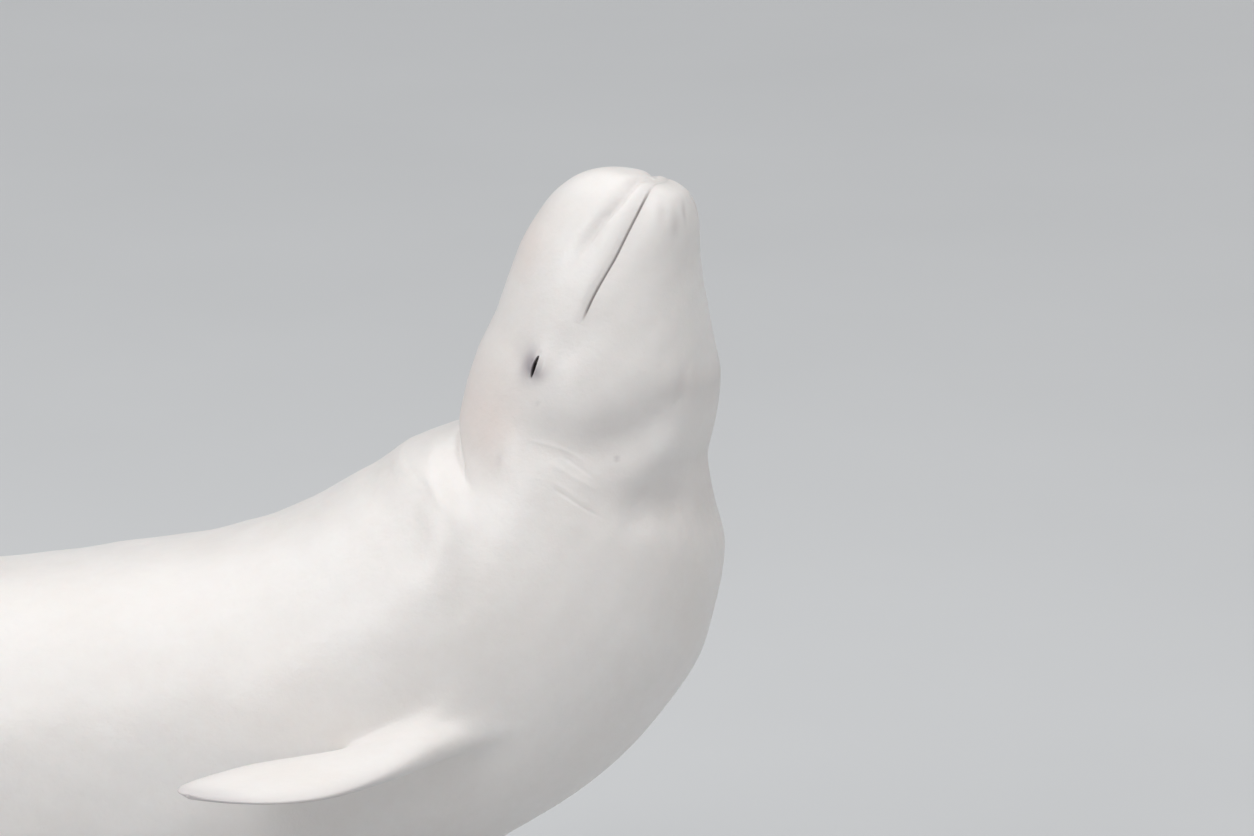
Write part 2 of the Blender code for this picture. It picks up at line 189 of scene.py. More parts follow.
def body_point(s, theta):
    """Point of the body at reach s and angle theta, 0 right and pi/2 back."""
    q = root_reach(s)
    back, belly, half, side = (curve(ROUND_STATIONS, k, q) for k in (1, 2, 3, 4))
    c, d = np.cos(theta), np.sin(theta)
    n = 2.15
    r = (np.abs(c) ** n + np.abs(d) ** n) ** (-1 / n)
    height = np.where(d > 0, back - side, side - belly)
    y = half * r * c
    z = side + height * r * d
    lift = nape(s, z) * np.where(d > 0, 1, 0)
    return np.stack([s + 0 * y, y + lift * r * c, z + lift * r * d], -1)


def fluke_point(u, theta):
    """Point of the tail flukes: u runs from the tail stock to the rear edge."""
    c, d = np.cos(theta), np.sin(theta)
    base = body_point(STOCK_END + 0 * u, theta)
    half = float(curve(ROUND_STATIONS, 3, STOCK_ROOT))
    across = np.sign(c) * np.abs(c) ** (1 - 0.15 * u)
    span = half + (FLUKE_SPAN / 2 - half) * smooth(0, 1, u) ** 0.85 - 0.098 * u * (1 - u) ** 5
    middle = STOCK_END + (FLUKE_NOTCH - STOCK_END) * u
    outer = STOCK_END + (FLUKE_TIP - STOCK_END) * u ** 1.25
    v = np.abs(across)
    bulge = 0.2 * u ** 2 * v * (1 - v) ** 0.8
    s = middle + (outer - middle) * v ** 1.5 + bulge
    t = np.clip(u / 0.9, 0, 1)
    taper = 1 - 3 * t ** 2 + 2 * t ** 3 - 0.85 * (t - 2 * t ** 2 + t ** 3)
    root_height = np.abs(base[..., 2]) * taper
    blade = (FLUKE_BLADE[0] * (1 - v ** 1.6) + FLUKE_BLADE[1]) * (1 - u) ** 0.6
    edge = FLUKE_EDGE / 2 * smooth(0, 0.4, u)
    shape = np.sign(d) * np.abs(d) ** (1 - 0.55 * smooth(0.2, 1, u))
    flat = blade * smooth(0, 0.3, u) + edge
    z = np.sign(d) * np.hypot(root_height, shape * flat)
    return np.stack([s, span * across, z], -1)


def map_polar(ab):
    """Distance from the middle and angle of points of the flat map."""
    return np.hypot(ab[..., 0], ab[..., 1]), np.arctan2(ab[..., 1], ab[..., 0])


def straight_point(ab):
    """Point of the straight whale for points (a, b) of the flat map."""
    q, theta = map_polar(ab)
    body = body_point(NOSE + np.minimum(q, STOCK_ROOT) ** 2, theta)
    tail = fluke_point(np.clip(q - STOCK_ROOT, 0, 1), theta)
    return np.where((q > STOCK_ROOT)[..., None], tail, body)


def straight_normal(ab):
    step = 1e-4
    da = straight_point(ab + (step, 0)) - straight_point(ab - (step, 0))
    db = straight_point(ab + (0, step)) - straight_point(ab - (0, step))
    normal = np.cross(db, da)
    return normal / np.maximum(np.linalg.norm(normal, axis=-1, keepdims=True), 1e-12)


def spine_table():
    """Steps along the spine with their world X, world Z and pitch."""
    steps = np.linspace(-0.1, 3.9, 4001)
    pitch = np.radians(curve(PITCH, 1, steps))
    half = (steps[1] - steps[0]) / 2
    columns = []
    for slope, start in ((np.cos(pitch), SNOUT[0]), (np.sin(pitch), SNOUT[2])):
        path = np.concatenate([[0], np.cumsum(-(slope[1:] + slope[:-1]) * half)])
        columns.append(path + start - np.interp(0, steps, path))
    return steps, *columns, pitch


SPINE = spine_table()


def bend(points):
    """Carry points from the straight body frame onto the curved spine."""
    points = np.asarray(points, float)
    s, y, z = points[..., 0], points[..., 1], points[..., 2]
    x0, z0, pitch = (np.interp(s, SPINE[0], column) for column in SPINE[1:])
    roll = np.radians(curve(ROLL, 1, s))
    right = y * np.cos(roll) - z * np.sin(roll)
    up = z * np.cos(roll) + y * np.sin(roll)
    return np.stack([x0 - np.sin(pitch) * up, SNOUT[1] - right, z0 + np.cos(pitch) * up], -1)


# --- relief of the skin ---
# Lines drawn on the flank as (reach, level); each has its own depth and width.
LIP_GROOVE = ((0.0012, 0.007), (0.0025, 0.0135), (0.009, 0.0185), (0.02, 0.0195),
              (0.039, 0.0225), (0.0564, 0.028), (0.0748, 0.0345), (0.0926, 0.039),
              (0.1113, 0.044), (0.1291, 0.049), (0.1459, 0.054), (0.195, 0.068))
JOWL_TROUGH = ((0.452, 0.01), (0.443, -0.04), (0.428, -0.09), (0.396, -0.136),
               (0.358, -0.162))
SHOULDER = ((0.44, -0.15), (0.412, -0.184))
THROAT_HOLLOW = ((0.508, -0.178), (0.492, -0.214), (0.482, -0.232))
JAW_DENT = ((0.272, -0.17), (0.3, -0.18), (0.322, -0.183))
FOLDS = (
    # points, height of the line (less than 0 for a crease), its width
    (((0.455, 0.03), (0.451, 0), (0.449, -0.03), (0.452, -0.058), (0.459, -0.078),
      (0.47, -0.097)), 0.001, 0.0042),
    (((0.459, -0.03), (0.463, -0.05), (0.471, -0.078), (0.481, -0.106)), -0.0008, 0.0036),
    (((0.474, -0.006), (0.479, -0.03), (0.487, -0.066), (0.493, -0.101), (0.503, -0.128)),
     0.0008, 0.0055),
    (((0.503, -0.022), (0.51, -0.052), (0.519, -0.085), (0.527, -0.116)), 0.0007, 0.005),
    (((0.513, -0.026), (0.52, -0.057), (0.529, -0.088), (0.535, -0.116), (0.543, -0.136)),
     -0.0008, 0.0028),
)
CHIN_LINES = (
    # points, width, strength
    (((0.013, -0.06), (0.028, -0.071), (0.05, -0.083)), 0.0048, 1),
    (((0.025, -0.06), (0.045, -0.071), (0.078, -0.081)), 0.0095, 0.8),
    (((0.015, -0.036), (0.03, -0.045), (0.054, -0.053)), 0.009, 0.8),
)
NAPE_LINE = ((0.508, 0.176), (0.519, 0.167), (0.531, 0.157), (0.546, 0.144), (0.566, 0.128))


def on_flank(line):
    """Put a line of (reach, level) points on the right flank."""
    angles = np.linspace(-pi / 2, pi / 2, 361)
    placed = []
    for s, level in line:
        ring = body_point(s + 0 * angles, angles)
        placed.append((s, float(np.interp(level, ring[:, 2], ring[:, 1])), level))
    return placed


def line_distance(line, points):
    """Distance of points from a line on the flank, and how far along it."""
    line = np.array(on_flank(line))
    lengths = np.linalg.norm(np.diff(line, axis=0), axis=1)
    starts = np.concatenate([[0], np.cumsum(lengths)])
    right = points * (1, 0, 1) + np.abs(points) * (0, 1, 0)
    best = np.full(len(points), 1e9)
    along = np.zeros(len(points))
    for k, length in enumerate(lengths):
        direction = (line[k + 1] - line[k]) / length
        t = np.clip((right - line[k]) @ direction, 0, length)
        gap = np.linalg.norm(right - line[k] - t[:, None] * direction, axis=1)
        nearer = gap < best
        best = np.where(nearer, gap, best)
        along = np.where(nearer, (starts[k] + t) / starts[-1], along)
    return best, along


def line_bell(line, points, width):
    """Bell across a line on the flank."""
    return bell(line_distance(line, points)[0], width)


def lip_offset(q, points):
    """Height above the line of the lips, which dips at the middle of the front."""
    s, y, z = points.T
    side = curve(ROUND_STATIONS, 4, np.minimum(q, STOCK_ROOT))
    return z - (side - 0.009 * bell(y, 0.024) * fall(0.002, 0.014, s))


def mouth_relief(s, off):
    """Crease between the lips: the upper one rolls in, the lower is crisp."""
    opening = fall(MOUTH_CORNER - 0.034, MOUTH_CORNER, s)
    opening *= 0.07 + 0.93 * smooth(0.001, 0.018, s)
    crease = -0.0046 * bell(off, 0.0017)
    upper = -0.0034 * bell(off, 0.0105) * smooth(-0.0014, 0.0014, off)
    lower = 0.0004 * bell(off + 0.006, 0.005)
    return (crease + upper + lower) * opening


def beak_relief(s, y, z):
    """Slight dip of the upper lip at the middle of the front."""
    return -0.0024 * bell(z + 0.001, 0.006) * bell(y, 0.022) * fall(0.004, 0.012, s)


def groove_distance(points):
    """Distance from the groove, how far along it, and 1 on its melon side to 0 on its lip side."""
    gap, along = line_distance(LIP_GROOVE, points)
    reach, level = np.array(LIP_GROOVE).T
    above = smooth(-0.002, 0.002, points[:, 2] - np.interp(points[:, 0], reach, level))
    return gap, along, above


def melon_relief(points):
    """Groove between the melon, which slopes gently into it, and the roll of the upper lip."""
    gap, along, above = groove_distance(points)
    fade = (1 - 0.18 * smooth(0.15, 0.5, along)) * fall(0.6, 1, along)
    front = smooth(-0.04, 0.16, along)
    wide, narrow = 0.0105 + 0.01 * along, 0.0042 + 0.0036 * along
    groove = -0.0078 * (0.25 + 0.75 * front) * bell(gap, narrow + (wide - narrow) * above)
    line = -0.002 * bell(gap, 0.0022) * smooth(0.02, 0.14, along) * fall(0.25, 0.8, along)
    brow = line_bell([(s, z + 0.034) for s, z in LIP_GROOVE], points, 0.022)
    roll = line_bell([(s, 0.5 * z) for s, z in LIP_GROOVE], points, 0.009)
    rolls = smooth(0.05, 0.45, along) * (0.0026 * brow + 0.0014 * roll)
    return (groove + line + rolls) * fade


def chin_shade(points):
    """Strength, from 0 to 1, of the soft hollows that run back from the chin."""
    shades = []
    for line, width, strength in CHIN_LINES:
        gap, along = line_distance(line, points)
        shades.append(strength * bell(gap, width) * bell(along - 0.5, 0.4))
    return np.max(shades, axis=0)


def eye_place(s, z):
    """Distances along and across the slit between the lids."""
    ds = s - LIDS_AT[0]
    return ds, z - LIDS_AT[1] + 0.045 * ds


def slit_half_width(ds):
    """Half the opening of the lids at a distance ds from its middle."""
    return 0.0024 * np.maximum(1 - (ds / 0.0187) ** 2, 0) ** 0.8


def eye_relief(s, z):
    """Lids over the eyeball, parted by a narrow slit."""
    ds, dz = eye_place(s, z)
    lids = 0.0074 * dome(ds / 1.15, dz, 0.0215)
    socket = -0.0026 * dome(ds / 1.2, dz - 0.034, 0.017)
    half = slit_half_width(ds)
    inside = smooth(-0.001, 0.0008, half - np.abs(dz)) * smooth(0, 0.0012, half)
    rims = 0.0009 * bell(np.abs(dz) - half - 0.003, 0.002) * bell(ds, 0.022)
    crease = -0.0011 * bell(dz - 0.0145 + 8 * ds ** 2, 0.0022) * bell(ds, 0.02)
    crease += -0.0009 * bell(dz + 0.0125 - 8 * ds ** 2, 0.002) * bell(ds, 0.018)
    corner = -0.001 * dome(np.abs(ds) - 0.0225, dz, 0.004)
    return lids + socket + rims + crease + corner - 0.0105 * inside


def fold_relief(points):
    """Fine rolls and creases of the neck."""
    total = np.zeros(len(points))
    for line, height, width in FOLDS:
        gap, along = line_distance(line, points)
        ends = smooth(0, 0.18, along) * fall(0.6, 1, along)
        total += height * bell(gap, width) * ends
    return total


def blowhole_offset(s, y):
    """Reach of a point behind the blowhole's slit, a crescent with its horns forward."""
    return s - (BLOWHOLE[0] - 6 * (y - BLOWHOLE[1]) ** 2)


def blowhole_relief(s, y):
    """Closed crescent on top of the head."""
    off = blowhole_offset(s, y)
    across = bell(y - BLOWHOLE[1], 0.026)
    return (-0.005 * bell(off, 0.003) + 0.003 * bell(off - 0.011, 0.008)
            + 0.0016 * bell(off + 0.012, 0.009)) * across


def ridge_relief(s, y):
    """Low fleshy ridge along the back, in place of a fin."""
    span = np.clip((s - 1.7) / 0.6, 0, 1)
    nicks = 0.03 * np.sin(s * 88) + 0.025 * np.sin(s * 143 + 1)
    height = 0.034 * np.sin(pi * span) ** 0.7 * (1 + nicks)
    return height * bell(y, 0.014 + 0.01 * np.sin(pi * span))


def belly_relief(s, y):
    """Navel, slit and vent on the middle of the belly."""
    navel = -0.004 * dome((s - 1.78) / 2.2, y, 0.008)
    slit = -0.006 * bell(y, 0.0055) * smooth(2.26, 2.3, s) * fall(2.44, 2.48, s)
    lips = 0.004 * bell(np.abs(y) - 0.014, 0.01) * bell(s - 2.37, 0.1)
    vent = -0.0045 * dome(s - 2.56, y, 0.008)
    return navel + slit + lips + vent


def throat_relief(s, theta):
    """Soft lengthwise folds where the throat meets the chest."""
    around = np.degrees(np.abs(np.angle(np.exp(1j * (theta + pi / 2)))))
    waves = np.sin(around * 0.8 + 2 * np.sin(s * 9) + 0.8)
    return 0.0012 * waves * bell(around - 4, 26) * bell(s - 0.54, 0.065)


def cheek_relief(points):
    """Full jowl, the trough under it and the shoulder of fat behind that."""
    s, y, z = points.T
    jowl = 0.0055 * dome((s - 0.265) / 1.25, z + 0.125, 0.064)
    behind_eye = 0.004 * dome(s - 0.385, (z - 0.03) / 1.3, 0.05)
    gap, along = line_distance(JOWL_TROUGH, points)
    trough = -0.013 * bell(gap, 0.04) * smooth(-0.35, 0.35, along)
    trough *= 1 - 0.35 * smooth(0.7, 1, along)
    shoulder = 0.0082 * line_bell(SHOULDER, points, 0.037)
    dip = -0.004 * dome((s - 0.285) / 1.2, z - 0.015, 0.03)
    sides = smooth(0.01, 0.07, np.abs(y))
    return (jowl + behind_eye + trough + dip + shoulder) * sides


def throat_hollow(points):
    """Hollow on the neck under the shoulder, and the dent under the jaw."""
    out = np.abs(points[:, 1])
    dent = -0.002 * line_bell(JAW_DENT, points, 0.012) * smooth(0.01, 0.05, out)
    return dent - 0.014 * line_bell(THROAT_HOLLOW, points, 0.041) * smooth(0.02, 0.12, out)


def nape_relief(points):
    """Sharp bottom of the crease across the nape, fullness behind it and two fine lines."""
    s, _, z = points.T
    behind = nape_distance(s, z)
    full = 0.0054 * bell(behind - 0.08, 0.026) - 0.0034 * bell(behind - 0.032, 0.017)
    full *= smooth(0.085, 0.185, z)
    bottom = -0.008 * bell(behind, 0.005) * smooth(0.128, 0.17, z)
    lines = np.zeros(len(s))
    for shift in (0.004, 0.013):
        gap, along = line_distance([(a + shift, b - 0.5 * shift) for a, b in NAPE_LINE], points)
        lines -= 0.002 * bell(gap, 0.0026) * smooth(0, 0.15, along) * fall(0.6, 1, along)
    return bottom + full + lines


def swell(points):
    """Faint unevenness of the blubber all over the body."""
    s, y, z = points.T
    return (0.0011 * np.sin(s * 21 + 9 * z) * np.sin(z * 26 + 4 * s + 1)
            + 0.0006 * np.sin(s * 47 - 31 * z + 2) * np.sin(z * 53 + y * 37))


def relief(ab, points):
    """How far the skin stands out from the plain body at each vertex."""
    q, theta = map_polar(ab)
    total = swell(points) * smooth(0.1, 0.4, q) * fall(STOCK_ROOT - 0.1, STOCK_ROOT, q)
    near = q < root_reach(0.9)
    head = points[near]
    s, y, z = head.T
    total[near] += mouth_relief(s, lip_offset(q[near], head)) + beak_relief(s, y, z)
    total[near] += eye_relief(s, z) - 0.0014 * dome(s - EAR_AT[0], z - EAR_AT[1], 0.0024)
    total[near] += melon_relief(head) - 0.001 * chin_shade(head)
    total[near] += fold_relief(head) + nape_relief(head) + cheek_relief(head)
    total[near] += throat_hollow(head) + throat_relief(s, theta[near])
    total[near] += blowhole_relief(s, y) * (z > 0.05)
    s, y, z = points.T
    on_body = q < STOCK_ROOT
    total += ridge_relief(s, y) * (z > 0) * on_body
    return total + belly_relief(s, y) * (z < -0.05) * on_body


# --- markings, and painted shade in creases, slits and hollows ---
WHITE = np.array((0.862, 0.838, 0.82))
PINK = np.array((0.97, 0.905, 0.885))
GREY = np.array((0.64, 0.625, 0.645))
# grey of the painted shadow that the lids cast round the eye
LID_SHADOW_GREY = np.array((0.5, 0.48, 0.52))
# grey of painted shade in hollows, in the melon's groove and on the upper lip, and of the darker
# skin on the back's ridge
SHADE_AND_SMUDGE = np.array((0.83, 0.815, 0.815))
# near black of painted shade deep in the crease between the lips and in the blowhole's slit
CREASE_SHADE = np.array((0.17, 0.15, 0.15))
# near black of painted shade on the lids' edges inside the slit
SLIT_SHADE = np.array((0.055, 0.046, 0.046))
# painted shade in the hollows of the jowl, the jaw and the throat: reach, level, size, strength
PAINTED_SHADES = (
    (0.396, -0.098, 0.058, 0.6), (0.35, -0.145, 0.045, 0.25), (0.49, -0.215, 0.068, 0.65),
    (0.3, -0.178, 0.024, 0.3), (0.47, -0.09, 0.055, 0.25), (0.29, -0.2, 0.055, 0.5),
)
# small grey marks, the ear among them, and a faint painted shade behind the eye: reach, level,
# size, strength
MARKS_AND_EYE_SHADE = (
    (0.437, -0.125, 0.0021, 0.9), (0.505, 0.073, 0.006, 0.25), (*EAR_AT, 0.0026, 0.4),
    (0.36, 0.01, 0.02, 0.15),
)
# shadows of the lids: place along and across the slit, stretch, size, strength
LID_SHADOWS = (
    (-0.003, 0.012, 1.5, 0.016, 0.66), (0, 0.005, 2, 0.0055, 0.45),
    (0.009, -0.009, 1, 0.012, 0.45), (0.004, 0.01, 1, 0.034, 0.28),
)


def tint(colours, amount, by):
    """Multiply colours by a tint, as strongly as amount says."""
    return colours * (1 + np.clip(amount, 0, 1)[:, None] * (by - 1))


def lip_tints(colours, s, off):
    """Painted shade: a dark line in the crease between the lips, and a soft shade on the upper one.
    """
    ends = fall(MOUTH_CORNER - 0.03, MOUTH_CORNER, s) * smooth(-0.008, 0.035, s)
    # painted shade deep in the crease between the lips
    colours = tint(colours, 0.95 * bell(off + 0.0004, 0.0021) * ends, CREASE_SHADE)
    # painted shade on the upper lip where it rolls into the crease
    return tint(colours, 0.5 * bell(off - 0.004, 0.011) * (s < MOUTH_CORNER), SHADE_AND_SMUDGE)


def eye_tints(colours, s, z):
    """Painted shadow of the lids round the eye, and painted shade on their edges in the slit."""
    ds, dz = eye_place(s, z)
    shadow = sum(strength * dome((ds - along) / stretch, dz - across, size)
                 for along, across, stretch, size, strength in LID_SHADOWS)
    colours = tint(colours, shadow, LID_SHADOW_GREY)
    # painted shade on the lids' edges inside the slit
    opening = smooth(-0.0024, 0.0006, slit_half_width(ds) - np.abs(dz))
    return tint(colours, opening * fall(0.017, 0.0215, np.abs(ds)), SLIT_SHADE)


def head_tints(colours, points, off):
    """Markings of the head and neck, and painted shade in their creases, slits, groove and hollows.
    """
    s, y, z = points.T
    before_nape = fall(0.631, 0.651, s + 0.72 * z)
    pink = 0.75 * bell(s - 0.455, 0.08) * smooth(0.02, 0.11, z) * before_nape
    pink += 0.6 * bell(s - 0.17, 0.06) * smooth(0.08, 0.15, z)
    colours = tint(colours, pink, PINK)
    # painted shade in the closed slit of the blowhole
    hole = bell(blowhole_offset(s, y), 0.0026) * bell(y - BLOWHOLE[1], 0.024) * (z > 0.05)
    colours = tint(colours, 0.85 * hole, CREASE_SHADE)
    colours = eye_tints(lip_tints(colours, s, off), s, z)
    # painted shade in the chin's soft hollows and in the groove between the melon and the upper lip
    gap, along, above = groove_distance(points)
    groove = bell(gap, 0.0035 + 0.0105 * above) * fall(0.45, 1, along)
    colours = tint(colours, 0.9 * chin_shade(points) + 0.7 * groove, SHADE_AND_SMUDGE)
    # grey marks, and painted shade in the hollows of the jowl, jaw and throat
    for table, stretch, by in ((MARKS_AND_EYE_SHADE, 1.8, GREY), (PAINTED_SHADES, 1, SHADE_AND_SMUDGE)):
        for reach, level, size, strength in table:
            spot = dome((s - reach) / stretch, z - level, size)
            colours = tint(colours, strength * spot, by)
    return colours


def skin_colours(ab, points):
    """Colour of the skin at each vertex of the body and flukes, with painted shade on the head and
    neck.
    """
    q, _ = map_polar(ab)
    s, y, z = points.T
    colours = np.tile(WHITE, (len(s), 1))
    near = s < 0.75
    off = lip_offset(q[near], points[near])
    colours[near] = head_tints(colours[near], points[near], off)
    tail = np.clip(q - STOCK_ROOT, 0, 1)
    edges = smooth(0.82, 1, tail) + 0.5 * smooth(0.3, 0.46, np.abs(y)) * (tail > 0)
    colours = tint(colours, edges, GREY)
    ridge = bell(y, 0.012) * bell(s - 2, 0.24) * (z > 0.2)
    return tint(colours, 0.6 * ridge, SHADE_AND_SMUDGE)


# --- mesh of the skin ---
def cap_points():
    """Square patch of map points that closes the snout without a pole."""
    line = np.linspace(-1, 1, SIDE + 1)
    a, b = np.meshgrid(line, line, indexing="ij")
    disc = np.stack([a * np.sqrt(1 - b * b / 2), b * np.sqrt(1 - a * a / 2)], -1)
    return disc * root_reach(CAP_REACH)


def ring_angles():
    b = -1 + 2 * np.arange(SIDE) / SIDE
    quarter = np.arcsin(b / sqrt(2))
    return np.concatenate([quarter + k * pi / 2 for k in range(4)])


def cap_border():
    """Places of the ring's vertices in the cap's square, in ring order."""
    n = SIDE
    return ([(n, j) for j in range(n)] + [(n - j, n) for j in range(n)]
            + [(0, n - j) for j in range(n)] + [(j, 0) for j in range(n)])


def row_radii():
    """Distances from the map's middle of all rings, cap to rear edge."""
    reaches = [np.linspace(a, b, int(round((b - a) / step)), endpoint=False) for a, b, step in ROWS]
    body = root_reach(np.concatenate(reaches))
    u = np.linspace(0, 1, FLUKE_ROWS)
    return np.concatenate([body, STOCK_ROOT + u])


def skin_grid():
    """Map points of the skin, the cap's faces, the rings and their faces."""
    cap = cap_points()
    ids = np.arange((SIDE + 1) ** 2).reshape(SIDE + 1, SIDE + 1)
    square = np.stack([ids[:-1, :-1], ids[1:, :-1], ids[1:, 1:], ids[:-1, 1:]], -1)
    radii, angles = row_radii(), ring_angles()
    rings = np.stack([radii[1:, None] * np.cos(angles), radii[1:, None] * np.sin(angles)], -1)
    ab = np.concatenate([cap.reshape(-1, 2), rings.reshape(-1, 2)])
    first = np.array([ids[i, j] for i, j in cap_border()])
    others = len(cap) ** 2 + np.arange(rings[..., 0].size).reshape(-1, AROUND)
    rows = np.concatenate([first[None], others])
    after = np.roll(rows, -1, axis=1)
    sides = np.stack([rows[:-1], rows[1:], after[1:], after[:-1]], -1)
    return ab, square.reshape(-1, 4).tolist(), rows, sides


def zip_up(one, other):
    """Faces between two rows of vertices that meet at their ends."""
    faces = []
    for k in range(len(one) - 1):
        corners = one[k], other[k], other[k + 1], one[k + 1]
        faces.append(list(dict.fromkeys(int(i) for i in corners)))
    return [face for face in faces if len(face) > 2]


def rear_edge(last):
    """Faces that close the flukes' rear edge, joining its top and underside."""
    top = np.arange(SIDE // 2, SIDE // 2 + 2 * SIDE + 1)
    return zip_up(last[top % AROUND], last[(SIDE - top) % AROUND])


def sides_of(face):
    """Ends of each side of a face, the lower number first."""
    return [tuple(sorted(ends)) for ends in zip(face, face[1:] + face[:1])]


def refine(ab, faces, wanted):
    """Split each wanted quad in four; its neighbours take the new corners."""
    ab = ab.tolist()
    middles, others, made = {}, [], []
    for face, split in zip(faces, wanted):
        if not split or len(face) != 4:
            others.append(face)
            continue
        centre = len(ab)
        ab.append([sum(ab[i][k] for i in face) / 4 for k in (0, 1)])
        for i, j in sides_of(face):
            if (i, j) not in middles:
                middles[i, j] = len(ab)
                ab.append([(ab[i][k] + ab[j][k]) / 2 for k in (0, 1)])
        mids = [middles[side] for side in sides_of(face)]
        made += [[face[k], mids[k], centre, mids[k - 1]] for k in range(4)]
    kept = []
    for face in others:
        corners = zip(face, (middles.get(side) for side in sides_of(face)))
        kept.append([i for pair in corners for i in pair if i is not None])
    return np.array(ab), kept + made


def detail_distance(ab):
    """Distances from the lips, eyes, blowhole and creases, and the reach."""
    points = straight_point(ab)
    s, y, z = points.T
    side = curve(ROUND_STATIONS, 4, map_polar(ab)[0])
    mouth = np.hypot(z - side, np.maximum(s - MOUTH_CORNER, 0))
    eye = np.hypot(np.maximum(np.abs(s - LIDS_AT[0]) - 0.021, 0), z - LIDS_AT[1])
    across = np.maximum(np.abs(y - BLOWHOLE[1]) - 0.025, 0)
    hole = np.hypot(s - 0.35, across) + (z < 0)
    crease = np.abs(nape_distance(s, z)) + (z < 0.12)
    for line, _, _ in FOLDS:
        crease = np.minimum(crease, line_distance(line, points)[0])
    return (mouth, eye, hole, crease), s


def refined_skin(ab, faces):
    """Make the mesh finer round the features, step by step."""
    for reaches in FINER:
        centres = np.array([ab[face].mean(axis=0) for face in faces])
        distances, s = detail_distance(centres)
        wanted = np.any([gap < reach for gap, reach in zip(distances, reaches)], axis=0)
        ab, faces = refine(ab, faces, wanted & (s < FINER_END))
    return ab, faces


# --- flippers ---
def flipper_axes():
    """Root of the right flipper, and its directions along, across and out."""
    root = Vector(bend(on_flank([FLIPPER_ROOT])[0]))
    along = Vector(FLIPPER_ALONG).normalized()
    chord = Vector(FLIPPER_CHORD)
    chord = (chord - along * chord.dot(along)).normalized()
    return [np.array(v) for v in (root, along, chord, along.cross(chord))]


def flipper_point(f, alpha, axes):
    """Point of the right flipper: f along it, alpha round its section."""
    root, along, chord, under = axes
    inner = np.clip(f, 0, 1)
    front = FLIPPER_FRONT[0] + FLIPPER_FRONT[1] * np.sin(pi * inner * 0.8)
    rear = FLIPPER_REAR[0] + FLIPPER_REAR[1] * smooth(0.05, 0.55, f)
    rounding = np.sqrt(np.maximum(1 - (np.maximum(f - 0.55, 0) / 0.4505) ** 2, 0))
    middle = FLIPPER_TIP + ((front + rear) / 2 - FLIPPER_TIP) * rounding
    width = (rear - front) / 2 * rounding
    thick = 0.5 * curve(FLIPPER_THICKNESS, 1, f)
    across = middle + width * np.cos(alpha)
    height = thick * np.sin(alpha) * (1 - 0.35 * np.cos(alpha)) - FLIPPER_CURL * inner ** 3
    return (root + along * (f * FLIPPER_LENGTH)[..., None] + chord * across[..., None]
            + under * height[..., None])


def flipper_meeting(alpha, axes):
    """Where the blade meets the flank: f, reach and angle for each alpha."""
    reach = FLIPPER_ROOT[0] + 0.1 * np.cos(alpha)
    state = np.stack([0 * alpha, reach, ROOT_ANGLE + 0 * alpha], -1)

    def miss(state):
        return flipper_point(state[:, 0], alpha, axes) - bend(body_point(state[:, 1], state[:, 2]))

    for _ in range(16):
        gap = miss(state)
        slopes = np.stack([(miss(state + 1e-5 * unit) - gap) / 1e-5 for unit in np.eye(3)], -1)
        state = state - np.clip(np.linalg.solve(slopes, gap[..., None])[..., 0], -0.1, 0.1)
    return state


def flank_metres(s, theta):
    """Lengths along and round the flank, from the flipper's root."""
    return np.stack([s - FLIPPER_ROOT[0], FLANK_RADIUS * (theta - ROOT_ANGLE)], -1)


def lines_round(lines, values, margin):
    """First and last of the grid lines that enclose values with a margin."""
    low, high = np.searchsorted(lines, (values.min() - margin, values.max() + margin))
    return int(low) - 1, int(high)


def flipper_block(meeting):
    """Rows and columns of the grid that the right flipper's collar takes."""
    rows = lines_round(NOSE + row_radii() ** 2, meeting[:, 1], COLLAR_MARGIN)
    columns = lines_round(ring_angles()[:SIDE], meeting[:, 2], COLLAR_MARGIN / FLANK_RADIUS)
    return rows + columns


def block_border(first, last, low, high):
    """Row and column of each vertex round a block, in order."""
    return ([(i, low) for i in range(first, last)] + [(last, j) for j in range(low, high)]
            + [(i, high) for i in range(last, first, -1)]
            + [(first, j) for j in range(high, low, -1)])


def border_alphas(border, meeting):
    """Angle of the blade's section that faces each vertex of the border."""
    reaches = NOSE + row_radii() ** 2
    angles = ring_angles()
    spots = flank_metres(*np.array([(reaches[i], angles[j]) for i, j in border]).T)
    line = flank_metres(meeting[:, 1], meeting[:, 2])
    middle = line.mean(axis=0)
    chord = line[0] - line[len(line) // 2]
    chord = chord / np.linalg.norm(chord)
    along = (spots - middle) @ chord
    below = (spots - middle) @ np.array((chord[1], -chord[0]))
    return np.unwrap(np.arctan2(1.9 * below, along))


def strips(rings):
    """Quads between neighbouring closed rings of vertex numbers."""
    rings = np.asarray(rings)
    after = np.roll(rings, -1, axis=1)
    return np.stack([rings[:-1], rings[1:], after[1:], after[:-1]], -1).reshape(-1, 4).tolist()


def relax(rings, middle, reach, rounds):
    """Round off the corner at the middle ring of a stack of rings."""
    rings = rings.copy()
    steps = np.arange(1, len(rings) - 1) - middle
    weight = 0.9 * bell(steps, reach)[:, None, None]
    for _ in range(rounds):
        inner = rings[1:-1]
        mean = (rings[:-2] + rings[2:] + np.roll(inner, 1, axis=1) + np.roll(inner, -1, axis=1)) / 4
        rings[1:-1] = inner + weight * (mean - inner)
    return rings


# --- putting the skin together ---
def open_sides(sides, first, last, low, high):
    """Faces of the rings, less the two blocks that the flippers' collars take."""
    kept = np.ones(sides.shape[:2], bool)
    kept[first:last, low:high] = False
    kept[first:last, 3 * SIDE - high:3 * SIDE - low] = False
    return sides[kept].tolist()


